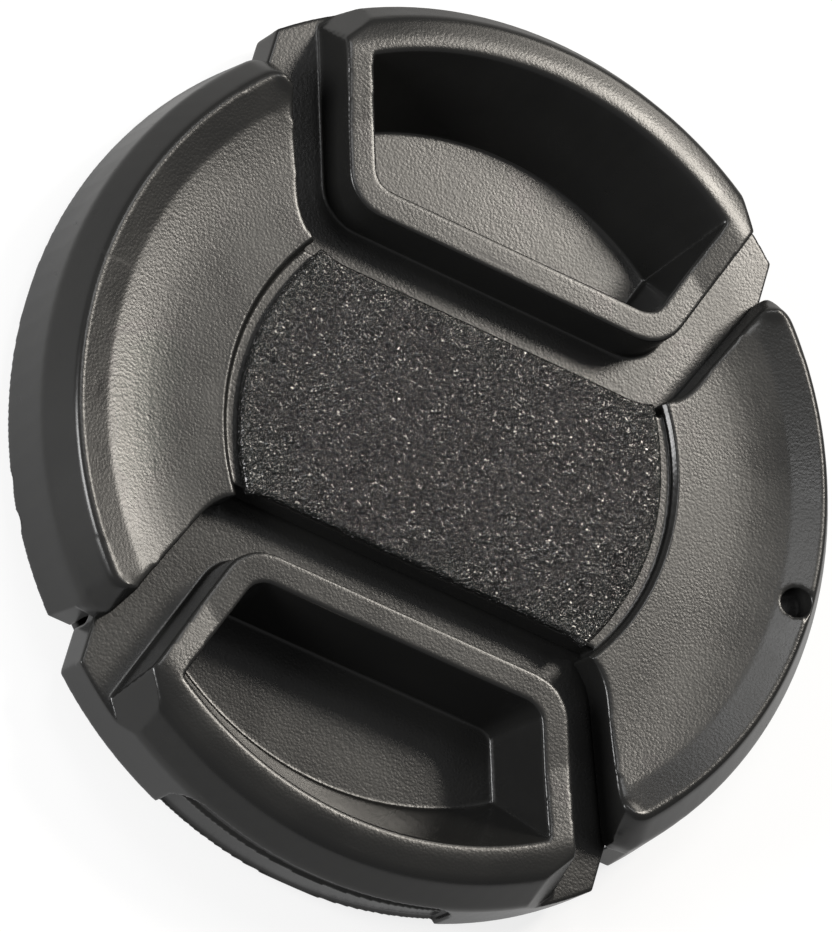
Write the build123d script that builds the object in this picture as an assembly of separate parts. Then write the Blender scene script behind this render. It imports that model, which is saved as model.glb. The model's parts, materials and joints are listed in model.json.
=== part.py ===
"""Centre-pinch camera lens cap for a 58 mm filter thread.

Millimetres. The axis of the lens is Z, +Z points out of the front of the cap, and the cap lies on its back
plate at Z 0. The latches slide along Y and stand out of round by REST_OUT, as they do off the lens.
"""
import os
from math import atan, atan2, cos, degrees, radians, sin, sqrt, tan

from build123d import *

# Thread of the lens, and how the cap seats on it
THREAD_DIAMETER = 58.0
THREAD_PITCH = 0.75
THREAD_CLEARANCE = 0.1
SEAT_WIDTH = 1.4

# Front body: skirt, chamfered rim and dished wings
RIM_HEIGHT = 7.5
SKIRT_WALL = 1.3
SKIRT_DRAFT = 0.4
CHAMFER_WIDTH = 1.5
CHAMFER_DROP = 2.7
CHAMFER_ROUND = 1.5
CREST_LAND = 0.25
DISH_WALL_WIDTH = 0.8
DISH_WALL_DROP = 0.42
DISH_WALL_ROUND = 3.5
TROUGH_RADIUS = 21.0
TROUGH_DROP = 0.69
LIP_RADIUS = 17.0
LIP_DROP = 0.7
LEDGE_WIDTH = 0.2
LEDGE_STEP = 0.25
WING_SPAN = 47.0
WING_FLARE = 22.6
WING_FOOT_GAP = 0.23
WING_END_TURN = 8.0
WING_CORNER_ROUND = 0.8
WING_END_CUT = 0.12
WING_TIP_CUT = 0.35
WING_ROOF = 1.4
WING_WALL = 1.3
OPENING_CORNER_ROUND = 5.3
KEEPER_HOLE = 2.1
KEEPER_INSET = 1.1
KEEPER_BOSS_WALL = 1.0

# Centre plate and the bridge that carries it
PLATE_GROOVE = 0.95
PLATE_HALF_WIDTH = 8.95
PLATE_DROP = 0.95
PLATE_THICKNESS = 0.7
PLATE_EDGE_BREAK = 0.2

# Latches, drawn in round with the body and then moved out to rest
REST_OUT = 2.0
TRAVEL = 2.4
FLANGE_DROP = 4.0
FLANGE_THICKNESS = 1.5
FLANGE_TUCK = 0.75
EAR_LENGTH = 2.0
EAR_WIDTH = 2.55
LATCH_WALL = 1.5
RING_RISE = 0.2
RING_RIDGE_INSET = 1.65
RING_RIDGE_ROUND = 6.0
RING_CREST_FALL = 0.3
RING_CREST_ROUND = 1.0
RING_SLOPE_RADIUS = 21.5
RING_SLOPE_FALL = 0.35
RING_SETBACK = 2.05
RING_WALL = 2.0
RING_OUTER_WALL = 2.4
RING_DRAFT = 2.0
RING_CORNER_ROUND = 3.2
POCKET_HALF_WIDTH = 11.2
POCKET_FLARE = 19.5
POCKET_CORNER_ROUND = 1.7
POCKET_DRAFT = 4.5
POCKET_OUTER_SLOPE = 29.0
POCKET_FLOOR = 0.9
CUP_WALL = 1.1
FACET_WALL = 1.87
FACET_TURN = 35.0
FACET_SLOPE = 22.0
JAW_HALF_WIDTH = 10.8
JAW_WALL = 1.8
JAW_TEETH = 2
JAW_LIFT = 0.1
RELIEF_DEPTH = 0.6
RELIEF_RIDGE = 0.35
RELIEF_RIDGE_DROP = 4.45
RELIEF_CORNER_ROUND = 2.5

# Back plate, slide rails, stops and stakes
PLATE_WALL = 0.9
SPIGOT_GAP = 0.3
SPIGOT_WALL = 1.3
SPIGOT_RISE = 2.0
SLIDE_GAP = 0.2
RAIL_GAP = 1.6
RAIL_WIDTH = 1.2
WEB_THICKNESS = 1.6
STOP_HALF_WIDTH = 3.0
STOP_GAP = 0.1
LUG_SIZE = 1.6
STAKE_DIAMETER = 2.2
STAKE_GAP = 0.1
STAKE_INSET = 2.3
STAKE_OFFSET = 9.0

# Springs
SPRING_DIAMETER = 3.0
SPRING_WIRE = 0.4
SPRING_TURNS = 5
SPRING_STEPS = 10
SPRING_SIDES = 6
SPRING_OFFSET = 9.0
SPRING_SEAT_GAP = 0.03
SPRING_PIN = 1.5
SPRING_PIN_LENGTH = 1.0

# Levels, from the back plate's resting face
seat_z = JAW_TEETH * THREAD_PITCH
crest_z = seat_z + RIM_HEIGHT
rim_z = crest_z - CHAMFER_DROP
trough_z = crest_z - TROUGH_DROP
lip_z = crest_z - LIP_DROP
ledge_z = lip_z - LEDGE_STEP
roof_z = trough_z - WING_ROOF
flange_z = crest_z - FLANGE_DROP
flange_bottom = flange_z - FLANGE_THICKNESS
rail_z = flange_bottom - SLIDE_GAP
wing_bottom = flange_z + SLIDE_GAP
plate_z = crest_z - PLATE_DROP
bridge_z = plate_z - PLATE_THICKNESS
ring_z = crest_z + RING_RISE
cup_bottom = PLATE_WALL + SLIDE_GAP
pocket_z = cup_bottom + POCKET_FLOOR
spring_z = (PLATE_WALL + wing_bottom) / 2

# Radii
thread_radius = THREAD_DIAMETER / 2
minor_radius = thread_radius - THREAD_PITCH * sqrt(3) * 5 / 16
skirt_radius = thread_radius + SEAT_WIDTH
skirt_inner = skirt_radius - SKIRT_WALL
rim_radius = skirt_radius - SKIRT_DRAFT
crest_radius = rim_radius - CHAMFER_WIDTH
dish_radius = crest_radius - CREST_LAND
ledge_radius = LIP_RADIUS + LEDGE_WIDTH
mouth_radius = crest_radius - RING_OUTER_WALL
plate_radius = LIP_RADIUS - PLATE_GROOVE
spigot_radius = minor_radius - SPIGOT_GAP
jaw_radius = thread_radius - THREAD_CLEARANCE
jaw_tooth = THREAD_PITCH / 3
jaw_inner = jaw_radius - JAW_WALL
keeper_radius = crest_radius - KEEPER_INSET
beyond = 2 * skirt_radius

# Places along and across the slide: rest_ with the latches at rest, the others with the latches in round
wing_foot = sqrt(LIP_RADIUS ** 2 - PLATE_HALF_WIDTH ** 2) + WING_FOOT_GAP
wing_end = crest_radius * sin(radians(WING_SPAN))
skirt_corner = sqrt(skirt_radius ** 2 - wing_end ** 2)
flange_half = sqrt(skirt_inner ** 2 - wing_end ** 2) - SLIDE_GAP
rest_inner = PLATE_HALF_WIDTH - FLANGE_TUCK
flange_inner = rest_inner - REST_OUT
pocket_inner = PLATE_HALF_WIDTH + RING_SETBACK + RING_WALL
ear_edge = flange_half - EAR_WIDTH
lug_x = ear_edge + SLIDE_GAP + LUG_SIZE / 2
lug_y = rest_inner + EAR_LENGTH + STOP_GAP + LUG_SIZE / 2
rail_end = wing_end - TRAVEL
stake_x = sqrt((spigot_radius - SPIGOT_WALL - STAKE_INSET) ** 2 - STAKE_OFFSET ** 2)
spring_half = SPRING_OFFSET + SPRING_DIAMETER / 2


def rounded(sketch, corners):
    """Round the sketch's corners nearest the given points, each by its own radius."""
    for x, y, radius in corners:
        sketch = fillet(sketch.vertices().sort_by_distance((x, y, 0))[0], radius)
    return sketch


def outline(*points):
    """A flat face bounded by straight lines through the points."""
    return make_face(Polyline(*points, close=True))


def turned(face):
    """Turn a face, drawn as radius and height, round the axis of the lens."""
    return revolve(Plane.XZ * face, Axis.Z)


def raised(face, low, high):
    """Extrude a face drawn in plan from one level to another."""
    return extrude(Pos(0, 0, low) * face, high - low)


def ring_of(inner, outer, low, high):
    """A plain ring round the axis of the lens."""
    return turned(outline((inner, low), (outer, low), (outer, high), (inner, high)))


def both_sides(shape):
    """The shape and its half turn about the axis of the lens."""
    return shape + Rot(0, 0, 180) * shape


def mirrored(shape):
    """The shape and its mirror image across the YZ plane."""
    return shape + mirror(shape, Plane.YZ)


def wing_edge(y):
    """Half width of the latch opening at a distance from the middle of the cap."""
    return wing_foot + (y - PLATE_HALF_WIDTH) * tan(radians(WING_FLARE))


def pocket_side(y):
    """Half width of the finger pocket's mouth at a distance from the middle of the cap."""
    return POCKET_HALF_WIDTH + (y - pocket_inner) * tan(radians(POCKET_FLARE))


def mouth_corner():
    """Where the sloped side of the pocket's mouth meets its outer arc."""
    slope = tan(radians(POCKET_FLARE))
    start = pocket_side(0)
    y = (sqrt(mouth_radius ** 2 * (1 + slope ** 2) - start ** 2) - start * slope) / (1 + slope ** 2)
    return pocket_side(y), y


def wing_tip(turn):
    """Where the end of a wing, turned from X by an angle, meets the edge of the latch opening."""
    rise = tan(radians(turn))
    flare = tan(radians(WING_FLARE))
    y = (wing_end + (skirt_corner - wing_edge(0)) * rise) / (1 + flare * rise)
    return wing_edge(y), y


def opening_plan(turn):
    """The opening that one latch fills between the wings, whose ends are turned by an angle."""
    tip = wing_tip(turn)
    drop = (beyond - skirt_corner) * tan(radians(turn))
    right = ((wing_foot, PLATE_HALF_WIDTH), tip, (beyond, wing_end - drop), (beyond, beyond))
    left = tuple((-x, y) for x, y in reversed(right))
    plan = outline(*right, *left)
    corners = []
    for side in (1, -1):
        corners.append((side * wing_foot, PLATE_HALF_WIDTH, OPENING_CORNER_ROUND))
        corners.append((side * tip[0], tip[1], WING_CORNER_ROUND))
    return rounded(plan, corners)


def outside(place, turn, slope, size):
    """Block on the outer side of a plane that faces a direction in plan and leans up by a slope."""
    turn = radians(turn)
    slope = radians(slope)
    outward = (cos(slope) * cos(turn), cos(slope) * sin(turn), sin(slope))
    block = Box(size, size, size, align=(Align.CENTER, Align.CENTER, Align.MIN))
    return Plane(origin=place, z_dir=outward) * block


def wing_end_cuts():
    """What is cut off the upper right wing end: the rim's chamfer carried round to the opening."""
    slope = degrees(atan2(CHAMFER_WIDTH, CHAMFER_DROP))
    facing = 90 - WING_END_TURN
    across = Vector(cos(radians(facing)), sin(radians(facing)), 0)
    rim_turn = degrees(atan2(wing_end, skirt_corner))
    end_place = Vector(skirt_corner, wing_end, rim_z)
    crest_corner = Vector(crest_radius, 0, crest_z).rotate(Axis.Z, rim_turn)
    edge_turn = 180 - WING_FLARE
    tip = Vector(*wing_tip(WING_END_TURN), crest_z) - across * CHAMFER_WIDTH
    half_turn = (facing + rim_turn) / 2
    corner_cut = Vector(cos(radians(half_turn)), sin(radians(half_turn)), 0) * WING_END_CUT
    tip_turn = (facing + edge_turn) / 2
    tip_cut = Vector(cos(radians(tip_turn)), sin(radians(tip_turn)), 0) * WING_TIP_CUT
    return [
        outside(end_place, facing, slope, beyond),
        outside(crest_corner - corner_cut, half_turn, slope, beyond),
        outside(tip - tip_cut, tip_turn, slope, CHAMFER_WIDTH + CHAMFER_DROP),
    ]


def dish():
    """What is scooped out of both wings: a turned trough, closed towards the wings' ends."""
    wall_slope = DISH_WALL_DROP / DISH_WALL_WIDTH
    wall_foot = (dish_radius - DISH_WALL_WIDTH, crest_z - DISH_WALL_DROP)
    trough = (TROUGH_RADIUS, trough_z)
    lip_slope = (lip_z - trough_z) / (TROUGH_RADIUS - ledge_radius)
    inner = (plate_radius, lip_z + lip_slope * (ledge_radius - plate_radius))
    top = crest_z + DISH_WALL_DROP
    section = outline((dish_radius + DISH_WALL_WIDTH, top), wall_foot, trough, inner, (plate_radius, top))
    section = rounded(section, [(*wall_foot, DISH_WALL_ROUND)])
    facing = 90 - WING_END_TURN
    inset = CHAMFER_WIDTH + CREST_LAND
    place = (
        skirt_corner - inset * cos(radians(facing)), wing_end - inset * sin(radians(facing)), crest_z,
    )
    end = outside(place, facing, degrees(atan(wall_slope)) - 90, beyond)
    return turned(section) - both_sides(mirrored(end))


def wing_section():
    """Section of the rim and wing before the dish is scooped out."""
    section = outline(
        (skirt_inner, seat_z), (skirt_radius, seat_z), (rim_radius, rim_z), (crest_radius, crest_z),
        (ledge_radius, crest_z), (ledge_radius, ledge_z), (LIP_RADIUS, ledge_z), (LIP_RADIUS, wing_bottom),
        (skirt_inner, wing_bottom),
    )
    return rounded(section, [(rim_radius, rim_z, CHAMFER_ROUND)])


def front_body():
    """Skirt, rim, wings, bridge, lugs, stakes and keeper hole in one moulding."""
    wings = turned(wing_section())
    opening = raised(opening_plan(0), 0, wing_bottom)
    opening = opening + raised(opening_plan(WING_END_TURN), wing_bottom, ring_z)
    wings = wings - both_sides(opening) - dish()
    for cut in wing_end_cuts():
        wings = wings - both_sides(mirrored(cut))
    hollow = ring_of(LIP_RADIUS + WING_WALL, skirt_inner, 0, roof_z)
    end_walls = raised(offset(opening_plan(0), WING_WALL), 0, roof_z)
    wings = wings - (hollow - both_sides(end_walls))
    span = Circle(LIP_RADIUS + WING_WALL / 2) & Rectangle(beyond, 2 * PLATE_HALF_WIDTH)
    bridge = raised(span, wing_bottom, bridge_z)
    lug = Pos(lug_x, lug_y, 0) * raised(Rectangle(LUG_SIZE, LUG_SIZE), flange_bottom, roof_z)
    stake = Pos(stake_x, STAKE_OFFSET, 0) * raised(Circle(STAKE_DIAMETER / 2), 0, roof_z)
    boss = Pos(keeper_radius, 0, 0) * raised(Circle(KEEPER_HOLE / 2 + KEEPER_BOSS_WALL), seat_z, roof_z)
    boss = boss & ring_of(0, rim_radius, 0, roof_z)
    hole = Pos(keeper_radius, 0, 0) * raised(Circle(KEEPER_HOLE / 2), 0, ring_z)
    return wings + bridge + both_sides(mirrored(lug)) + both_sides(mirrored(stake)) + boss - hole


def centre_plate():
    """The grained plate between the wings, with a softened upper edge."""
    plan = Circle(plate_radius) & Rectangle(beyond, 2 * PLATE_HALF_WIDTH)
    plate = raised(plan, bridge_z, plate_z)
    return chamfer(plate.faces().sort_by(Axis.Z)[-1].edges(), PLATE_EDGE_BREAK)


def pocket_plan(grow, corner):
    """Plan of the finger pocket at its mouth, grown outward, open to the rim."""
    flare = radians(POCKET_FLARE)
    inner = pocket_inner - grow
    half = POCKET_HALF_WIDTH + grow * (1 / cos(flare) - tan(flare))
    wide = half + (beyond - inner) * tan(flare)
    plan = outline((-half, inner), (half, inner), (wide, beyond), (-wide, beyond))
    return rounded(plan, [(-half, inner, corner), (half, inner, corner)])


def pocket_shape(grow, low):
    """The pocket's tapered hollow, grown outward, from the ring's top down to a level."""
    slope = tan(radians(POCKET_OUTER_SLOPE))
    top = mouth_radius + grow / cos(radians(POCKET_OUTER_SLOPE))
    cone = turned(outline((0, low), (top - (ring_z - low) * slope, low), (top, ring_z), (0, ring_z)))
    plan = Pos(0, 0, ring_z) * pocket_plan(grow, POCKET_CORNER_ROUND + grow)
    return extrude(plan, low - ring_z, taper=POCKET_DRAFT) & cone


def facet():
    """What is cut off one end of the ring, outside its sloped facet."""
    turn = radians(FACET_TURN)
    x, y = mouth_corner()
    place = (x + FACET_WALL * cos(turn), y + FACET_WALL * sin(turn), ring_z)
    return outside(place, FACET_TURN, FACET_SLOPE, beyond)


def ring():
    """The raised ring round the pocket, crowned along the rim, chamfered and faceted at its ends."""
    crest = (crest_radius, ring_z - RING_CREST_FALL)
    ridge = (crest_radius - RING_RIDGE_INSET, ring_z)
    slope_foot = (RING_SLOPE_RADIUS, ring_z - RING_SLOPE_FALL)
    section = outline(
        (0, flange_bottom), (rim_radius, flange_bottom), (rim_radius, rim_z), crest, ridge, slope_foot,
        (0, ring_z - RING_SLOPE_FALL),
    )
    corners = [(rim_radius, rim_z, CHAMFER_ROUND), (*crest, RING_CREST_ROUND), (*ridge, RING_RIDGE_ROUND)]
    section = rounded(section, corners)
    height = ring_z - flange_bottom
    spread = height * tan(radians(RING_DRAFT))
    plan = Pos(0, 0, flange_bottom) * pocket_plan(RING_WALL + spread, RING_CORNER_ROUND + spread)
    walls = extrude(plan, height, taper=RING_DRAFT)
    return walls & turned(section) - mirrored(facet())


def flange():
    """The plate that slides under the wings, with ears that meet the stop lugs."""
    plan = Pos(0, beyond / 2 + flange_inner) * Rectangle(2 * flange_half, beyond)
    plan = plan & Circle(rim_radius)
    slot_start = flange_inner + EAR_LENGTH
    slot_end = lug_y + LUG_SIZE / 2 + TRAVEL + SLIDE_GAP - REST_OUT
    slot = Pos(ear_edge + beyond / 2, (slot_start + slot_end) / 2) * Rectangle(beyond, slot_end - slot_start)
    return raised(plan - slot - mirror(slot, Plane.YZ), flange_bottom, flange_z)


def jaw_section():
    """Section of the toothed jaw below the latch's outer wall."""
    root = jaw_radius - jaw_tooth
    points = [(jaw_inner, seat_z), (root, seat_z)]
    for tooth in range(JAW_TEETH):
        middle = seat_z - (tooth + 0.5) * THREAD_PITCH
        points += [(root, middle + jaw_tooth), (jaw_radius, middle), (root, middle - jaw_tooth)]
    points += [(root, JAW_LIFT), (jaw_inner, JAW_LIFT)]
    return outline(*points)


def relief():
    """The recess in the outer wall above the jaw, with its two ridges."""
    valley = rim_radius - RELIEF_DEPTH
    ridge = valley + RELIEF_RIDGE
    middle = crest_z - RELIEF_RIDGE_DROP
    section = outline(
        (beyond, rim_z), (rim_radius, rim_z), (valley, rim_z - RELIEF_DEPTH), (valley, middle + RELIEF_RIDGE),
        (ridge, middle), (valley, middle - RELIEF_RIDGE), (valley, seat_z + RELIEF_RIDGE), (ridge, seat_z),
        (beyond, seat_z),
    )
    window = Pos(0, rim_z / 2) * Rectangle(2 * JAW_HALF_WIDTH, rim_z)
    corners = [(side * JAW_HALF_WIDTH, rim_z, RELIEF_CORNER_ROUND) for side in (-1, 1)]
    return turned(section) & extrude(Plane.XZ * rounded(window, corners), -beyond)


def latch():
    """One pinch latch in round with the body, on the +Y side."""
    side = Pos(0, beyond / 2, 0)
    wall = ring_of(rim_radius - LATCH_WALL, rim_radius, seat_z, flange_z)
    wall = wall & side * Box(2 * flange_half, beyond, beyond)
    cheek = Pos(flange_half - LATCH_WALL / 2, wing_end - REST_OUT + beyond / 2) * Rectangle(LATCH_WALL, beyond)
    cheek = raised(cheek & Circle(rim_radius), seat_z, flange_z)
    jaw = turned(jaw_section()) + ring_of(jaw_inner, rim_radius, seat_z, flange_z)
    jaw = jaw & side * Box(2 * JAW_HALF_WIDTH, beyond, beyond)
    cup = pocket_shape(CUP_WALL, cup_bottom) & Pos(0, 0, flange_z / 2) * Box(beyond, 2 * beyond, flange_z)
    abutment = Pos(0, flange_inner + LATCH_WALL / 2) * Rectangle(2 * spring_half, LATCH_WALL)
    seat = raised(abutment, cup_bottom, flange_z)
    pin = spring_pin(flange_inner, -1)
    solid = ring() + flange() + wall + mirrored(cheek) + jaw + cup + seat + mirrored(pin)
    return solid - pocket_shape(0, pocket_z) - relief()


def spring_pin(y, way):
    """Pin that keeps a spring on its seat, standing off a wall at y towards way."""
    base = Plane(origin=(SPRING_OFFSET, y, spring_z), z_dir=(0, way, 0))
    return base * Cylinder(SPRING_PIN / 2, SPRING_PIN_LENGTH, align=(Align.CENTER, Align.CENTER, Align.MIN))


def back_plate():
    """Plate behind the latches, with spigot wall, slide rails, web and travel stops."""
    jaw_path = ring_of(jaw_inner - SLIDE_GAP, beyond, 0, flange_z)
    jaw_path = jaw_path & Pos(0, beyond / 2, 0) * Box(2 * (JAW_HALF_WIDTH + SLIDE_GAP), beyond, beyond)
    jaw_path = Pos(0, REST_OUT - TRAVEL, 0) * jaw_path
    plate = ring_of(0, spigot_radius, 0, PLATE_WALL) - both_sides(jaw_path)
    wall = ring_of(spigot_radius - SPIGOT_WALL, spigot_radius, PLATE_WALL, PLATE_WALL + SPIGOT_RISE)
    wall = wall & Box(2 * beyond, 2 * (wing_end - TRAVEL - SPIGOT_GAP), beyond)
    cup_side = pocket_side(rail_end + TRAVEL - REST_OUT) + CUP_WALL / cos(radians(POCKET_FLARE))
    rail = Rectangle(RAIL_WIDTH, rail_end - rest_inner)
    rail = Pos(cup_side + RAIL_GAP + RAIL_WIDTH / 2, (rest_inner + rail_end) / 2) * rail
    rails = both_sides(mirrored(raised(rail, PLATE_WALL, rail_z)))
    web = raised(Rectangle(2 * spring_half, WEB_THICKNESS), PLATE_WALL, wing_bottom)
    stop_depth = 2 * (rest_inner - TRAVEL - STOP_GAP)
    stop = raised(Rectangle(2 * STOP_HALF_WIDTH, stop_depth), PLATE_WALL, flange_z)
    pins = both_sides(mirrored(spring_pin(WEB_THICKNESS / 2, 1)))
    stake_hole = Pos(stake_x, STAKE_OFFSET, 0) * raised(Circle(STAKE_DIAMETER / 2 + STAKE_GAP), 0, crest_z)
    boss_room = Circle(KEEPER_HOLE / 2 + KEEPER_BOSS_WALL + SPIGOT_GAP)
    keeper_path = Pos(keeper_radius, 0, 0) * raised(boss_room, 0, crest_z)
    return plate + wall + rails + web + stop + pins - both_sides(mirrored(stake_hole)) - keeper_path


def spring():
    """One coil spring at rest, between the web and the latch, on the +X +Y side."""
    room = rest_inner - WEB_THICKNESS / 2 - 2 * SPRING_SEAT_GAP
    radius = (SPRING_DIAMETER - SPRING_WIRE) / 2
    steps = SPRING_TURNS * SPRING_STEPS
    rise = (room - SPRING_WIRE) / steps
    turn = 360 / SPRING_STEPS
    points = [Vector(radius, 0, step * rise).rotate(Axis.Z, step * turn) for step in range(steps + 1)]
    path = Polyline(*points)
    section = Plane(origin=path @ 0, z_dir=path % 0) * RegularPolygon(SPRING_WIRE / 2, SPRING_SIDES)
    coil = sweep(section, path=path, transition=Transition.RIGHT)
    start = WEB_THICKNESS / 2 + SPRING_SEAT_GAP + SPRING_WIRE / 2
    return Plane(origin=(SPRING_OFFSET, start, spring_z), z_dir=(0, 1, 0)) * coil


def pieces():
    """Every piece of the cap at rest, by name."""
    upper = Pos(0, REST_OUT, 0) * latch()
    coil = spring()
    half_turn = Rot(0, 0, 180)
    return {
        "front_body": front_body(),
        "centre_plate": centre_plate(),
        "back_plate": back_plate(),
        "upper_latch": upper,
        "lower_latch": half_turn * upper,
        "upper_right_spring": coil,
        "upper_left_spring": mirror(coil, Plane.YZ),
        "lower_right_spring": mirror(coil, Plane.XZ),
        "lower_left_spring": half_turn * coil,
    }


if __name__ == "__main__":
    os.makedirs("parts", exist_ok=True)
    for name, piece in pieces().items():
        piece.label = name
        export_step(piece, f"parts/{name}.step")
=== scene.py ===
# %% [markdown]
# # A centre-pinch lens cap
#
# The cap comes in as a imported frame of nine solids, in metres, at its real size and place. This lesson
# dresses it: every moulded piece gets the soft edges and the surface that its mould gives it, the centre
# plate gets its wrinkled grain, the springs become round wire, and then come the floor, the light and the
# camera. Nothing that the frame holds is moved or resized.

# %% Load the frame
import json
from math import copysign, cos, pi, radians, sin

import bmesh
import bpy
import numpy as np
from mathutils import Matrix, Quaternion, Vector, noise

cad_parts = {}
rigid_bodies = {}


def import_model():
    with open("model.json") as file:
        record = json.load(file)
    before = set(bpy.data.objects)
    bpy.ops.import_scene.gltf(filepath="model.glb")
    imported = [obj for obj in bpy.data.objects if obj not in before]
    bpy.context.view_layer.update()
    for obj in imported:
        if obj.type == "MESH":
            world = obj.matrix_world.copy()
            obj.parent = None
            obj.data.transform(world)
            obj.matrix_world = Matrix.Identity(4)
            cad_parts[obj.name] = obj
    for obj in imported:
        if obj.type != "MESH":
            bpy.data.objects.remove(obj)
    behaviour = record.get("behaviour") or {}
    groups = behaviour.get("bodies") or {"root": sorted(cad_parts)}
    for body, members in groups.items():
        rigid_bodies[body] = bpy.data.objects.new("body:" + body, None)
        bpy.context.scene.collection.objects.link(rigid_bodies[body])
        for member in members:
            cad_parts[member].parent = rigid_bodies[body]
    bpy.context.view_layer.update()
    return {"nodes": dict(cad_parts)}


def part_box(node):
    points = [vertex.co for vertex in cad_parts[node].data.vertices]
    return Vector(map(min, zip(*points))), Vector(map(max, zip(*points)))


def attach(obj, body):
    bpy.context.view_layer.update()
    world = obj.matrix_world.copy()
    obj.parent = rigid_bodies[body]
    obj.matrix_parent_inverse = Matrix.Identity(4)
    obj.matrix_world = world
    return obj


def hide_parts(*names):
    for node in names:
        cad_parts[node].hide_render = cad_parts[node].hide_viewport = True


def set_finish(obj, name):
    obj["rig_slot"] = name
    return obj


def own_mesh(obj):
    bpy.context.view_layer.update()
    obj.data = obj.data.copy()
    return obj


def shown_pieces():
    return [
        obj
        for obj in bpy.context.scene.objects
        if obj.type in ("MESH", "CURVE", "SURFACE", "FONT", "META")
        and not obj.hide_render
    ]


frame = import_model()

MM = 0.001
nodes = frame["nodes"]
scene = bpy.context.scene
scene.view_settings.view_transform = "Standard"
print("nodes:", ", ".join(sorted(nodes)))

# %% [markdown]
# ## Moulded edges
#
# A mould never leaves a knife edge: each corner has a small radius, and that radius is what catches the light.
# Bevels on every edge would have to agree at each corner. A fine voxel remesh, drawn back onto the solid and then
# smoothed, rolls all edges over by about the same radius instead, so a copy of each moulded solid is treated that
# way. More passes on some of its points give those a larger radius.

# %% Helpers for a moulded copy
FINE_VOXEL = 0.13 * MM
WELD_REACH = 0.001 * MM
ROLL_PASSES = 4
ROLL_FACTOR = 0.5


def baked(piece):
    """Turn what the piece's modifiers make into its own mesh."""
    mesh = bpy.data.meshes.new_from_object(piece.evaluated_get(bpy.context.evaluated_depsgraph_get()))
    piece.modifiers.clear()
    piece.vertex_groups.clear()
    piece.data = mesh
    return mesh


def spots(mesh):
    """The mesh's points as rows of X, Y and Z in millimetres."""
    flat = np.empty(3 * len(mesh.vertices), np.float32)
    mesh.vertices.foreach_get("co", flat)
    return flat.reshape(-1, 3) / MM


def put_back(mesh, points):
    """Give the mesh's points new places, in rows of X, Y and Z in millimetres."""
    mesh.vertices.foreach_set("co", (points * MM).astype(np.float32).ravel())
    mesh.update()


def voxel_copy(node, voxel):
    """A copy of a CAD node made of even quads of the voxel's size, which stands for that node."""
    piece = bpy.data.objects.new(f"{node}_moulding", nodes[node].data.copy())
    scene.collection.objects.link(piece)
    weld = piece.modifiers.new("weld", "WELD")
    weld.merge_threshold = WELD_REACH
    remesh = piece.modifiers.new("remesh", "REMESH")
    remesh.mode = "VOXEL"
    remesh.voxel_size = voxel
    settle = piece.modifiers.new("settle", "SHRINKWRAP")
    settle.target = nodes[node]
    baked(piece).materials.clear()
    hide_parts(node)
    return piece


def rolled(piece, passes, chosen=None):
    """Smooth the piece, or only the points of it that are chosen."""
    roll = piece.modifiers.new("roll", "SMOOTH")
    roll.factor = ROLL_FACTOR
    roll.iterations = passes
    if chosen is not None:
        picked = piece.vertex_groups.new(name="picked")
        picked.add(np.flatnonzero(chosen).tolist(), 1.0, "REPLACE")
        roll.vertex_group = picked.name
    baked(piece)


def thinned(piece, triangles):
    """Leave at most that many triangles, mostly where the piece bends, and shade it smooth."""
    before = len(piece.data.polygons)
    thin = piece.modifiers.new("thin", "DECIMATE")
    thin.ratio = min(1.0, triangles / (2 * before))
    baked(piece).shade_smooth()
    print(f"{piece.name}: {before} quads thinned to {len(piece.data.polygons)} faces")


voxel = FINE_VOXEL
print("voxel:", round(voxel / MM, 3), "mm")

# %% [markdown]
# ## Scoops of the wings
#
# The skirt, the rim and the two dished wings are one injection moulding. Each wing is a shallow scoop: a straight
# wall slopes down from the crest of the rim, and a hollow floor runs on from its foot to the lip round the centre
# plate. The solid's scoop is shallower. It could be cut again with a turned tool, but the copy has its points
# already, so the mean height of its floor is measured ring by ring, and the points sink to the drops below the
# crest that are given here. Points further down move less, so that the sides of the wing only shorten.

# %% Sink the scoops
SCOOP_RADII = (17.3, 19.0, 20.0, 21.0, 22.0, 23.0, 24.0, 25.0, 26.0, 28.3)
SCOOP_DROPS = (1.06, 1.055, 1.05, 1.04, 1.015, 0.965, 0.885, 0.78, 0.65, 0.0)
SCOOP_LEDGE = 16.9
SCOOP_RING = 0.1
SCOOP_HALF = 10.0
SCOOP_FLOOR = 7.95
SCOOP_ROOT = 7.4
SCOOP_RISE = 0.5

front = voxel_copy("front_body", voxel)
rolled(front, ROLL_PASSES)
points = spots(front.data)
x, y, z = points.T
radius = np.hypot(x, y)
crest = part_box("front_body")[1].z / MM

scoop = (x < 0) & (abs(y) < SCOOP_HALF) & (z > SCOOP_FLOOR)
scoop &= (radius > SCOOP_RADII[0]) & (radius < SCOOP_RADII[-1])
band = ((radius[scoop] - SCOOP_RADII[0]) / SCOOP_RING).astype(int)
count = np.maximum(np.bincount(band), 1)
rings = np.bincount(band, radius[scoop]) / count
heights = np.bincount(band, z[scoop]) / count

deeper = heights - crest + np.interp(rings, SCOOP_RADII, SCOOP_DROPS)
sink = np.interp(radius, rings, deeper, right=0.0)
sink *= (radius > SCOOP_LEDGE) * np.clip((z - SCOOP_ROOT) / SCOOP_RISE, 0.0, 1.0)
points[:, 2] -= sink
put_back(front.data, points)
print("scoops sunk by up to", round(float(sink.max()), 2), "mm")

# %% [markdown]
# ## Edges of the front body
#
# The crest is a soft ridge and the chamfer flows round the end of the wing, so the points there get many more
# passes than the floor of the scoop. The lip round the centre plate keeps its small radius.

# %% Roll the front body
SCOOP_ROLL = 10
SCOOP_LOW = 7.5
SCOOP_INNER = 17.8
CREST_ROLL = 40
CREST_LOW = 6.8
CREST_INNER = 28.1
END_ROLL = 30
END_LOW = 5.4
END_START = 17.0
END_INNER = 22.0

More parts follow.
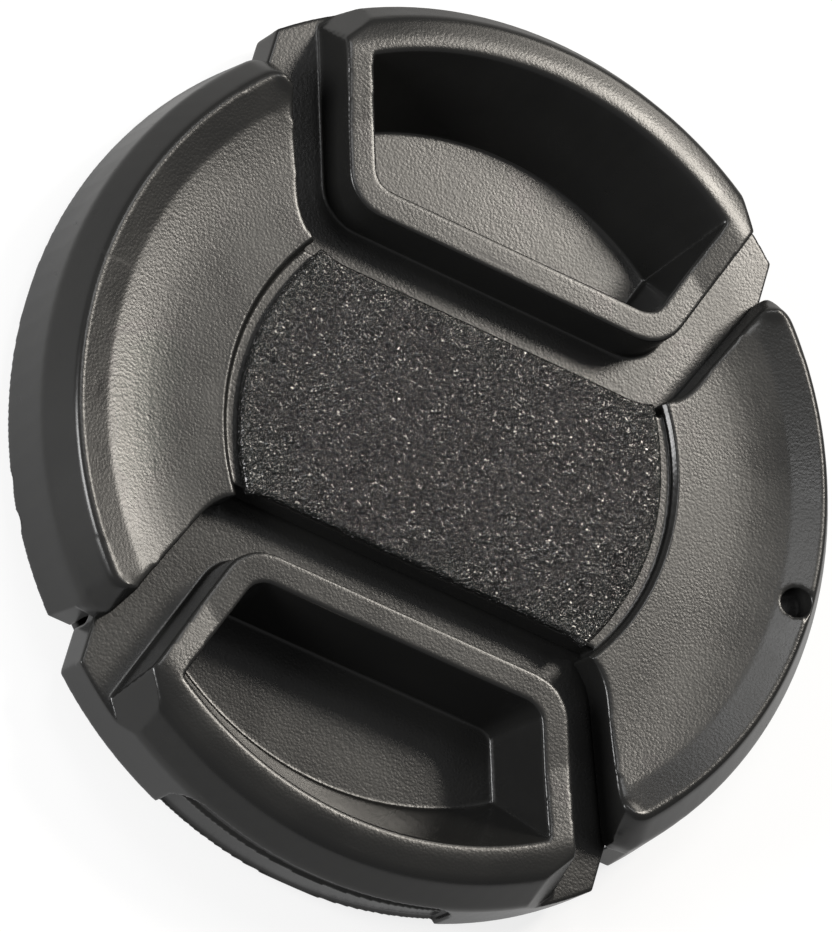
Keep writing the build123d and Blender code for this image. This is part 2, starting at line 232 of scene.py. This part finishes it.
z = points[:, 2]
rolled(front, SCOOP_ROLL, (z > SCOOP_LOW) & (radius > SCOOP_INNER))
rolled(front, CREST_ROLL, (z > CREST_LOW) & (radius > CREST_INNER))
rolled(front, END_ROLL, (z > END_LOW) & (abs(y) > END_START) & (radius > END_INNER))
print("front body: crest rolled from", round(crest, 2), "to", round(float(spots(front.data)[:, 2].max()), 2), "mm")

# %% [markdown]
# ## Chipped skirt
#
# The lower edge of the skirt is chipped along a short stretch of the left wing. Chips could be cut with small
# solids, but they are no deeper than a few points of the mesh, so the points of the edge are pushed up where a
# noise along the rim is high.

# %% Chip the skirt
CHIP_START = 204.0
CHIP_END = 218.0
CHIP_PER_DEGREE = 0.35
CHIP_ROW = 0.3
CHIP_LEVEL = 0.12
CHIP_DEPTH = 0.9
CHIP_REACH = 0.5
CHIP_WALL = 29.0
FRONT_TRIANGLES = 190000

points = spots(front.data)
x, y, z = points.T
turn = np.degrees(np.arctan2(y, x)) % 360
skirt = np.hypot(x, y) > CHIP_WALL
foot = z[skirt].min()
edge = skirt & (z < foot + CHIP_REACH) & (turn > CHIP_START) & (turn < CHIP_END)
for index in np.flatnonzero(edge):
    bite = max(0.0, noise.noise((turn[index] * CHIP_PER_DEGREE, CHIP_ROW, 0.0)) - CHIP_LEVEL)
    fade = 1.0 - (z[index] - foot) / CHIP_REACH
    points[index, 2] += CHIP_DEPTH * bite * fade
put_back(front.data, points)
print("points along the chipped edge:", np.count_nonzero(edge))
thinned(front, FRONT_TRIANGLES)
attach(front, "cap")
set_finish(front, "black_plastic")

# %% [markdown]
# ## Latches
#
# Each latch is one moulding too: finger pocket, raised ring, flange and toothed jaw. Fingers press on the ring,
# so its edges are rolled well over. The teeth of the jaw show as soft ridges, so they are rolled as well, while the
# flange between them keeps its small radius.

# %% Roll the latches
RING_ROLL = 10
RING_LOW = 7.0
JAW_ROLL = 12
JAW_HIGH = 4.2
JAW_INNER = 27.5
LATCH_TRIANGLES = 160000

for node, body in (("upper_latch", "upper_slider"), ("lower_latch", "lower_slider")):
    latch = voxel_copy(node, voxel)
    rolled(latch, ROLL_PASSES)
    x, y, z = spots(latch.data).T
    rolled(latch, RING_ROLL, z > RING_LOW)
    rolled(latch, JAW_ROLL, (z < JAW_HIGH) & (np.hypot(x, y) > JAW_INNER))
    thinned(latch, LATCH_TRIANGLES)
    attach(latch, body)
    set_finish(latch, "black_plastic")

# %% [markdown]
# ## Back plate
#
# The plate that closes the back is hidden while the cap lies on it, but it is seen when the cap is turned over. It
# has no soft forms of its own, so the small radius of the mould is enough.

# %% Roll the back plate
BACK_TRIANGLES = 90000

back = voxel_copy("back_plate", voxel)
rolled(back, ROLL_PASSES)
thinned(back, BACK_TRIANGLES)
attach(back, "cap")
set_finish(back, "black_plastic")

# %% [markdown]
# ## Grained centre plate
#
# The plate between the wings has a coarse wrinkled grain, etched into its mould: short crooked ridges about a
# quarter of a millimetre apart. A bump alone would look flat from the side, so the grain is made of real shape:
# the points of the top are lifted along the zero lines of a warped noise, which are just such crooked lines.
# The warp starts from a set seed, so that every run gives the same grain.

# %% The grain's height
GRAIN_SEED = 7
GRAIN_PER_MM = 4.2
WARP_PER_MM = 1.9
WARP_REACH = 0.16
RIDGE_STEEPNESS = 2.2
RIDGE_SHARE = 0.75
BUMP_SHIFT = Vector((7.0, 3.0, 1.0))

noise.seed_set(GRAIN_SEED)


def grain(x, y):
    """Height of the grain, from 0 in the valleys to 1 on the ridges, at a place in millimetres."""
    place = Vector((x, y, 0.0))
    place += noise.noise_vector(place * WARP_PER_MM) * WARP_REACH
    ridge = max(0.0, 1.0 - RIDGE_STEEPNESS * abs(noise.noise(place * GRAIN_PER_MM)))
    bumps = 0.5 + 0.5 * noise.noise(place * 2 * GRAIN_PER_MM + BUMP_SHIFT)
    return RIDGE_SHARE * ridge + (1.0 - RIDGE_SHARE) * bumps


print("grain at the middle of the plate:", round(grain(0.0, 0.0), 2))

# %% [markdown]
# ## Plate with its grain
#
# The underside is flat, so its many small faces are joined to one and the points that are saved go to the top. The
# grain dies out towards the edge. The long edges swell out a little at the corners, where they run into the round
# feet of the wings.

# %% Emboss the centre plate
GRAIN_VOXEL = 0.085 * MM
GRAIN_HEIGHT = 0.14
GRAIN_LEVEL = 0.6
GRAIN_SKIN = 0.15
GRAIN_MARGIN = 0.35
CORNER_START = 11.2
CORNER_ROUND = 5.3
CORNER_REACH = 6
FACING_DOWN = -0.99

plate = voxel_copy("centre_plate", GRAIN_VOXEL)
rolled(plate, ROLL_PASSES)
plate_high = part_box("centre_plate")[1]
plate_radius = plate_high.x / MM
plate_half = plate_high.y / MM
plate_top = plate_high.z / MM

bm = bmesh.new()
bm.from_mesh(plate.data)
under = [face for face in bm.faces if face.normal.z < FACING_DOWN]
bmesh.ops.dissolve_faces(bm, faces=under, use_verts=True)
for vert in bm.verts:
    x, y, z = vert.co / MM
    margin = min(plate_radius - Vector((x, y)).length, plate_half - abs(y)) / GRAIN_MARGIN
    if z > plate_top - GRAIN_SKIN and margin > 0:
        vert.co.z += GRAIN_HEIGHT * MM * min(margin, 1.0) * (grain(x, y) - GRAIN_LEVEL)
    swell = max(0.0, abs(x) - CORNER_START) ** 2 / (2 * CORNER_ROUND)
    vert.co.y += copysign(swell, y) * MM * (abs(y) / plate_half) ** CORNER_REACH
bmesh.ops.triangulate(bm, faces=[face for face in bm.faces if len(face.verts) > 4])
bm.normal_update()
bm.to_mesh(plate.data)
bm.free()
plate.data.shade_smooth()
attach(plate, "cap")
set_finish(plate, "grained_plastic")
print("centre plate:", sum(len(face.vertices) - 2 for face in plate.data.polygons), "triangles")

# %% [markdown]
# ## Springs
#
# Four coil springs of drawn wire push the latches out. A curve with a round bevel would do, but one round section,
# spun about the spring's axis and carried along it a little at each step, draws the helix with plain rings of
# faces. The section starts a quarter turned, so that one of its corners is at the outside of the coil, which then
# has its full width.

# %% A coil of wire
WIRE_RADIUS = 0.2 * MM
WIRE_SIDES = 14
COIL_TURNS = 5
COIL_STEPS = 36


def coil(length, radius):
    """A helix of round wire along Y, from 0 to the length, round the Y axis."""
    bm = bmesh.new()
    made = bmesh.ops.create_circle(bm, cap_ends=True, segments=WIRE_SIDES, radius=WIRE_RADIUS)
    bmesh.ops.rotate(bm, verts=made["verts"], cent=(0, 0, 0), matrix=Matrix.Rotation(pi / 2, 3, "Z"))
    bmesh.ops.translate(bm, verts=made["verts"], vec=(radius, WIRE_RADIUS, 0))
    steps = COIL_TURNS * COIL_STEPS
    rise = (length - 2 * WIRE_RADIUS) / steps
    bmesh.ops.spin(
        bm, geom=bm.verts[:] + bm.edges[:] + bm.faces[:],
        cent=(0, 0, 0), axis=(0, 1, 0), dvec=(0, rise, 0), angle=COIL_TURNS * 2 * pi,
        steps=steps, use_merge=False, use_duplicate=False,
    )
    bmesh.ops.recalc_face_normals(bm, faces=bm.faces)
    return bm


print("wire:", round(2 * WIRE_RADIUS / MM, 2), "mm thick,", COIL_TURNS, "turns")

# %% [markdown]
# ## Springs in their places
#
# Each spring stands on the web of the back plate and presses on its latch. The real spring shortens towards the web
# as the latch is pinched; here it is wound at its rest length and attached to the cap, so it keeps that length.

# %% Wind the springs
SPRINGS = (
    ("upper_left_spring", "upper_pinch"), ("upper_right_spring", "upper_pinch"),
    ("lower_left_spring", "lower_pinch"), ("lower_right_spring", "lower_pinch"),
)

springs = []
for node, joint in SPRINGS:
    low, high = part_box(node)
    upper = high.y > 0
    start = low.y if upper else high.y
    length = high.y - low.y
    centre_x = round((low.x + high.x) / 2 / MM) * MM
    centre_z = (low.z + high.z) / 2
    bm = coil(length, (high.z - low.z) / 2 - WIRE_RADIUS)
    place = Matrix.Translation((centre_x, start, centre_z)) @ Matrix.Rotation(0 if upper else pi, 4, "Z")
    bmesh.ops.transform(bm, verts=bm.verts, matrix=place)
    mesh = bpy.data.meshes.new(f"{node}_wire")
    bm.to_mesh(mesh)
    bm.free()
    mesh.shade_smooth()
    wire = bpy.data.objects.new(f"{node}_wire", mesh)
    scene.collection.objects.link(wire)
    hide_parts(node)
    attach(wire, "cap")
    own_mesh(wire)
    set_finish(wire, "spring_steel")
    springs.append(wire)
print("springs:", len(springs), "of", len(springs[0].data.polygons), "faces")

# %% [markdown]
# ## Mould texture
#
# The fine leathery surface is what spark-eroded steel leaves on the plastic: grains of about a fifth of a
# millimetre. Cells of a Voronoi texture are the grains, and a finer noise roughens them. The group puts out a
# plain height, so a finish can choose how deep it is. Nodes could be drawn by hand in the editor, but a lesson is
# easier to follow when each node is one line, so helpers add a node with its inputs set or joined.

# %% Group of the mould texture
TEXTURE_PER_M = 4600.0
PEEL_FINER = 1.4
PEEL_DETAIL = 3.0


def linked(tree, kind, *in_order, **by_name):
    """Add a node to a tree, with each input set to a value or joined to another node's output."""
    made = tree.nodes.new(kind)
    for key, value in (*enumerate(in_order), *by_name.items()):
        if isinstance(value, bpy.types.NodeSocket):
            tree.links.new(value, made.inputs[key])
        else:
            made.inputs[key].default_value = value
    return made


def calc(tree, operation, first, second=0.0):
    """Add a math node and give its output."""
    made = linked(tree, "ShaderNodeMath", first, second)
    made.operation = operation
    return made.outputs[0]


def object_place(tree):
    """Add the object's own coordinates to a tree and give them."""
    return tree.nodes.new("ShaderNodeTexCoord").outputs["Object"]


def effect_group(name, outputs):
    """A new node group with the given value outputs, and its output node."""
    tree = bpy.data.node_groups.new(name, "ShaderNodeTree")
    for output in outputs:
        tree.interface.new_socket(name=output, in_out="OUTPUT", socket_type="NodeSocketFloat")
    return tree, tree.nodes.new("NodeGroupOutput")


mould_texture, result = effect_group("mould_texture", ["Height"])
place = object_place(mould_texture)
cells = linked(mould_texture, "ShaderNodeTexVoronoi", Vector=place, Scale=TEXTURE_PER_M)
peel = linked(
    mould_texture, "ShaderNodeTexNoise",
    Vector=place, Scale=PEEL_FINER * TEXTURE_PER_M, Detail=PEEL_DETAIL,
)
height = calc(mould_texture, "SUBTRACT", peel.outputs["Fac"], cells.outputs["Distance"])
mould_texture.links.new(height, result.inputs["Height"])
print("texture grains:", round(1 / TEXTURE_PER_M / MM, 2), "mm")

# %% [markdown]
# ## Tops and walls
#
# The sides of a mould are polished so that the part slides out, so only tops carry the texture. This mask could be
# painted, but the way a face points tells a top from a wall well enough.

# %% Group of the upward faces
WALL_FACING = 0.75
TOP_FACING = 0.95


def ramp(tree, value, low, high, to_low=0.0, to_high=1.0):
    """Add a clamped smooth map range from low and high to two other values, and give its output."""
    made = linked(
        tree, "ShaderNodeMapRange",
        **{"Value": value, "From Min": low, "From Max": high, "To Min": to_low, "To Max": to_high},
    )
    made.interpolation_type = "SMOOTHSTEP"
    return made.outputs["Result"]


upward, result = effect_group("upward", ["Mask"])
direction = upward.nodes.new("ShaderNodeTexCoord").outputs["Normal"]
facing = linked(upward, "ShaderNodeSeparateXYZ", Vector=direction).outputs["Z"]
upward.links.new(ramp(upward, facing, WALL_FACING, TOP_FACING), result.inputs["Mask"])
print("tops: faces that point up by more than", TOP_FACING)

# %% [markdown]
# ## Marks of use
#
# Use leaves small pits and hair scratches. Pits are the middles of a few cells of a coarse Voronoi texture.
# Scratches are the thin peaks of a noise that is stretched one way, kept to some patches by a second noise.

# %% Group of the marks
PIT_PER_M = 420.0
PIT_EDGE = 0.08
PIT_FLOOR = 0.03
PIT_NONE = 0.86
PIT_SURE = 0.9
HAIR_PER_M = 1040.0
HAIR_TURN = radians(35)
HAIR_STRETCH = (0.06, 1.0, 1.0)
HAIR_NONE = 0.72
HAIR_SURE = 0.76
PATCH_PER_M = 130.0
PATCH_NONE = 0.52
PATCH_SURE = 0.62

marks, result = effect_group("marks", ["Pits", "Scratches"])
place = object_place(marks)
pit = linked(marks, "ShaderNodeTexVoronoi", Vector=place, Scale=PIT_PER_M)
chance = linked(marks, "ShaderNodeSeparateColor", Color=pit.outputs["Color"]).outputs[0]
few = ramp(marks, chance, PIT_NONE, PIT_SURE)
pits = calc(marks, "MULTIPLY", ramp(marks, pit.outputs["Distance"], PIT_EDGE, PIT_FLOOR), few)
marks.links.new(pits, result.inputs["Pits"])

slant = linked(marks, "ShaderNodeMapping", Vector=place, Rotation=(0, 0, HAIR_TURN), Scale=HAIR_STRETCH)
hair = linked(marks, "ShaderNodeTexNoise", Vector=slant.outputs["Vector"], Scale=HAIR_PER_M, Detail=1.0)
patch = linked(marks, "ShaderNodeTexNoise", Vector=place, Scale=PATCH_PER_M, Detail=1.0)
lines = ramp(marks, hair.outputs["Fac"], HAIR_NONE, HAIR_SURE)
scratches = calc(marks, "MULTIPLY", lines, ramp(marks, patch.outputs["Fac"], PATCH_NONE, PATCH_SURE))
marks.links.new(scratches, result.inputs["Scratches"])
print("groups:", ", ".join(tree.name for tree in bpy.data.node_groups))

# %% [markdown]
# ## Satin black plastic
#
# The plastic is dyed through, so its colour hardly changes; what the eye reads is how it reflects. Tops are a
# little duller than the walls, and a slow cloud keeps both from looking machine-made. Texture, pits and scratches
# go into one bump, because they are far too fine to be shape.

# %% The satin finish
CLOUD_PER_M = 180.0
CLOUD_DETAIL = 3.0
CLOUD_LOW = 0.3
CLOUD_HIGH = 0.7
SATIN_DARK = (0.012, 0.012, 0.012)
SATIN_LIGHT = (0.018, 0.018, 0.017)
WALL_ROUGHNESS = 0.24
TOP_ROUGHNESS = 0.27
CLOUD_ROUGHNESS = 0.03
SCRATCH_ROUGHNESS = 0.1
TEXTURE_DEPTH = 0.006 * MM
PIT_DEPTHS = 2.0
SCRATCH_DEPTHS = 0.3


def material(name):
    """A new material with its node tree and its shader."""
    made = bpy.data.materials.new(name)
    made.use_nodes = True
    return made, made.node_tree, made.node_tree.nodes["Principled BSDF"]


def effect(tree, group):
    """Add a node group to a material's tree and give its outputs."""
    made = tree.nodes.new("ShaderNodeGroup")
    made.node_tree = group
    return made.outputs


def shade_mix(tree, factor, dark, light):
    """Mix two colours by a factor."""
    made = linked(tree, "ShaderNodeMix", Factor=factor)
    made.data_type = "RGBA"
    for name, colour in (("A", dark), ("B", light)):
        socket = next(s for s in made.inputs if s.name == name and s.type == "RGBA")
        socket.default_value = (*colour, 1.0)
    return next(s for s in made.outputs if s.type == "RGBA")


def embossed(tree, shader, height, distance):
    """Feed a height of up to the distance to the shader's normal, as a bump."""
    bump = linked(tree, "ShaderNodeBump", Height=height, Distance=distance, Strength=1.0)
    tree.links.new(bump.outputs["Normal"], shader.inputs["Normal"])


satin, tree, shader = material("satin_black_plastic")
tops = effect(tree, upward)["Mask"]
wear = effect(tree, marks)
skin = effect(tree, mould_texture)["Height"]
place = object_place(tree)
cloud = linked(
    tree, "ShaderNodeTexNoise", Vector=place, Scale=CLOUD_PER_M, Detail=CLOUD_DETAIL,
).outputs["Fac"]
tree.links.new(shade_mix(tree, cloud, SATIN_DARK, SATIN_LIGHT), shader.inputs["Base Color"])

rough = ramp(tree, tops, 0.0, 1.0, WALL_ROUGHNESS, TOP_ROUGHNESS)
drift = ramp(tree, cloud, CLOUD_LOW, CLOUD_HIGH, -CLOUD_ROUGHNESS, CLOUD_ROUGHNESS)
rough = calc(tree, "ADD", rough, drift)
rough = calc(tree, "ADD", rough, calc(tree, "MULTIPLY", wear["Scratches"], SCRATCH_ROUGHNESS))
tree.links.new(rough, shader.inputs["Roughness"])

relief = calc(tree, "MULTIPLY", skin, tops)
relief = calc(tree, "SUBTRACT", relief, calc(tree, "MULTIPLY", wear["Pits"], PIT_DEPTHS))
relief = calc(tree, "SUBTRACT", relief, calc(tree, "MULTIPLY", wear["Scratches"], SCRATCH_DEPTHS))
embossed(tree, shader, relief, TEXTURE_DEPTH)
print(satin.name, "has", len(tree.nodes), "nodes")

# %% [markdown]
# ## Grained black plastic
#
# The centre plate is the same plastic, darker and shinier. Its shape holds the coarse grain, and a bump adds finer
# folds of the same kind: the zero lines of a distorted noise again, this time by nodes.

# %% The grained finish
WRINKLE_PER_M = 3400.0
WRINKLE_TWIST = 0.6
WRINKLE_WIDTH = 0.14
WRINKLE_DEPTH = 0.08 * MM
NOISE_MIDDLE = 0.5
GRAINED_PER_M = 900.0
GRAINED_DARK = (0.006, 0.006, 0.006)
GRAINED_LIGHT = (0.012, 0.012, 0.011)
GRAINED_SHINY = 0.17
GRAINED_DULL = 0.27
GRAINED_SPECULAR = 0.75

grained, tree, shader = material("grained_black_plastic")
place = object_place(tree)
folds = linked(
    tree, "ShaderNodeTexNoise",
    Vector=place, Scale=WRINKLE_PER_M, Detail=1.0, Distortion=WRINKLE_TWIST,
).outputs["Fac"]
fold = calc(tree, "ABSOLUTE", calc(tree, "SUBTRACT", folds, NOISE_MIDDLE))
embossed(tree, shader, ramp(tree, fold, 0.0, WRINKLE_WIDTH, 1.0, 0.0), WRINKLE_DEPTH)
cloud = linked(
    tree, "ShaderNodeTexNoise", Vector=place, Scale=GRAINED_PER_M, Detail=CLOUD_DETAIL,
).outputs["Fac"]
tree.links.new(shade_mix(tree, cloud, GRAINED_DARK, GRAINED_LIGHT), shader.inputs["Base Color"])
dull = ramp(tree, cloud, CLOUD_LOW, CLOUD_HIGH, GRAINED_SHINY, GRAINED_DULL)
tree.links.new(dull, shader.inputs["Roughness"])
shader.inputs["Specular IOR Level"].default_value = GRAINED_SPECULAR
print(grained.name, "has", len(tree.nodes), "nodes")

# %% [markdown]
# ## Drawn steel
#
# Spring wire is bright, with a fine unevenness from the drawing die. One noise drives its colour, its roughness and
# a shallow bump, so that they agree.

# %% The steel finish
DRAWN_PER_M = 6000.0
DRAWN_DETAIL = 2.0
STEEL_DARK = (0.46, 0.46, 0.48)
STEEL_LIGHT = (0.62, 0.62, 0.63)
STEEL_SHINY = 0.22
STEEL_DULL = 0.36
DRAWN_DEPTH = 0.004 * MM

steel, tree, shader = material("drawn_steel")
drawn = linked(
    tree, "ShaderNodeTexNoise", Vector=object_place(tree), Scale=DRAWN_PER_M, Detail=DRAWN_DETAIL,
).outputs["Fac"]
tree.links.new(shade_mix(tree, drawn, STEEL_DARK, STEEL_LIGHT), shader.inputs["Base Color"])
dull = ramp(tree, drawn, CLOUD_LOW, CLOUD_HIGH, STEEL_SHINY, STEEL_DULL)
tree.links.new(dull, shader.inputs["Roughness"])
shader.inputs["Metallic"].default_value = 1.0
embossed(tree, shader, drawn, DRAWN_DEPTH)

FINISHES = {"black_plastic": satin, "grained_plastic": grained, "spring_steel": steel}
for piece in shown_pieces():
    finish = FINISHES[piece["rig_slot"]]
    piece.data.materials.clear()
    piece.data.materials.append(finish)
    print(piece.name, "in", finish.name)

# %% [markdown]
# ## Floor
#
# The cap lies on a white sweep. For the camera the sweep is also an even emission, as if lit through from below,
# which keeps it white up to the cap and leaves only a pale shadow. A light below the floor would reach the cap, so
# that part is an emission. Reflections see a weaker emission too, a painted reflection of a lit floor. It fades
# from the front of the cap to its back, which paints the floor behind the cap in shade.

# %% Make the floor
FLOOR_HALF = 2.0
SWEEP_GREY = (0.25, 0.25, 0.25, 1.0)
SWEEP_ROUGHNESS = 0.9
SWEEP_GLOW = 0.8
# Painted reflection: the glow that reflections see, strong in front of the cap and faint behind it as painted shade
# of the floor.
PAINTED_REFLECTION_FRONT = 0.45
PAINTED_REFLECTION_BACK = 0.05
FADE_FRONT = -0.01
FADE_BACK = 0.05

floor_mesh = bpy.data.meshes.new("floor")
bm = bmesh.new()
bmesh.ops.create_grid(bm, x_segments=1, y_segments=1, size=FLOOR_HALF)
bm.to_mesh(floor_mesh)
bm.free()
floor = bpy.data.objects.new("floor", floor_mesh)
scene.collection.objects.link(floor)

sweep, tree, shader = material("white_sweep")
shader.inputs["Base Color"].default_value = SWEEP_GREY
shader.inputs["Roughness"].default_value = SWEEP_ROUGHNESS
shader.inputs["Specular IOR Level"].default_value = 0.0
path = tree.nodes.new("ShaderNodeLightPath").outputs
# Painted reflection of a lit floor, seen only by glossy and transmission rays, fading to painted shade behind the
# cap.
painted_reflection = calc(tree, "MAXIMUM", path["Is Glossy Ray"], path["Is Transmission Ray"])
along = linked(tree, "ShaderNodeSeparateXYZ", Vector=object_place(tree)).outputs["Y"]
painted_reflection = calc(tree, "MULTIPLY", painted_reflection, ramp(tree, along, FADE_FRONT, FADE_BACK, PAINTED_REFLECTION_FRONT, PAINTED_REFLECTION_BACK))
seen = calc(tree, "MULTIPLY", path["Is Camera Ray"], SWEEP_GLOW)
glow = linked(tree, "ShaderNodeEmission", Strength=calc(tree, "ADD", seen, painted_reflection))
both = linked(tree, "ShaderNodeAddShader", shader.outputs["BSDF"], glow.outputs["Emission"])
tree.links.new(both.outputs["Shader"], tree.nodes["Material Output"].inputs["Surface"])
floor_mesh.materials.append(sweep)
print("floor:", 2 * FLOOR_HALF, "m wide")

# %% [markdown]
# ## Light
#
# Black plastic shows little but the lights that it mirrors, so each light is placed where the cap should shine. The
# warm key light stands behind it on the right, where the flat tops and the floor of the left scoop mirror it in
# part. A weaker one stands low beside it, a third is high behind on the left for the wall of the right wing, and a
# fill at the left front lights the skirt. A dim world fills the rest.

# %% Set the lights
STUDIO_LEVEL = 0.2
WHITE = (1.0, 1.0, 1.0)
WARM = (1.0, 0.94, 0.85)

world = bpy.data.worlds.new("studio")
scene.world = world
world.use_nodes = True
background = world.node_tree.nodes["Background"]
background.inputs["Color"].default_value = (*WHITE, 1.0)
background.inputs["Strength"].default_value = STUDIO_LEVEL


def toward(azimuth, elevation):
    """Unit vector from the cap to a place round it, in degrees. Azimuth 0 is in front of the cap, at -Y."""
    azimuth, elevation = radians(azimuth), radians(elevation)
    return Vector((sin(azimuth) * cos(elevation), -cos(azimuth) * cos(elevation), sin(elevation)))


def softbox(name, azimuth, elevation, distance, size, brightness, colour):
    """A square area light that faces the cap, as many times brighter than white paper as given."""
    data = bpy.data.lights.new(name, "AREA")
    data.size = size
    data.energy = brightness * pi * size ** 2
    data.color = colour
    lamp = bpy.data.objects.new(name, data)
    scene.collection.objects.link(lamp)
    way = toward(azimuth, elevation)
    lamp.location = way * distance
    lamp.rotation_mode = "QUATERNION"
    lamp.rotation_quaternion = (-way).to_track_quat("-Z", "Y")
    print(f"{name}: {data.energy:.2f} W")


softbox("key", azimuth=142, elevation=47.5, distance=0.4, size=0.094, brightness=30.0, colour=WARM)
softbox("back", azimuth=157, elevation=28, distance=0.3, size=0.09, brightness=6.0, colour=WARM)
softbox("side", azimuth=-165, elevation=66, distance=0.3, size=0.1, brightness=4.5, colour=WHITE)
softbox("fill", azimuth=-72, elevation=26, distance=0.3, size=0.12, brightness=15.0, colour=WHITE)

# %% [markdown]
# ## Camera
#
# The camera looks down on the cap from the left front and is rolled, as in the photograph. Its direction, distance
# and lens were worked out from the ellipse of the rim and the edges of the plate and the wings.

# %% Set the camera
VIEW_AZIMUTH = -41.52
VIEW_ELEVATION = 60.0
VIEW_ROLL = 62.26
VIEW_DISTANCE = 598.04
VIEW_LENS = 340.37
VIEW_AIM = Vector((-2.673, -2.858, 9.0)) * MM

camera_data = bpy.data.cameras.new("camera")
camera_data.lens = VIEW_LENS
camera = bpy.data.objects.new("camera", camera_data)
scene.collection.objects.link(camera)
view_back = toward(VIEW_AZIMUTH, VIEW_ELEVATION)
facing_cap = (-view_back).to_track_quat("-Z", "Y")
camera.location = VIEW_AIM + view_back * VIEW_DISTANCE * MM
camera.rotation_mode = "QUATERNION"
camera.rotation_quaternion = facing_cap @ Quaternion((0, 0, 1), radians(VIEW_ROLL))
scene.camera = camera
print("camera at", [round(value / MM, 1) for value in camera.location], "mm")
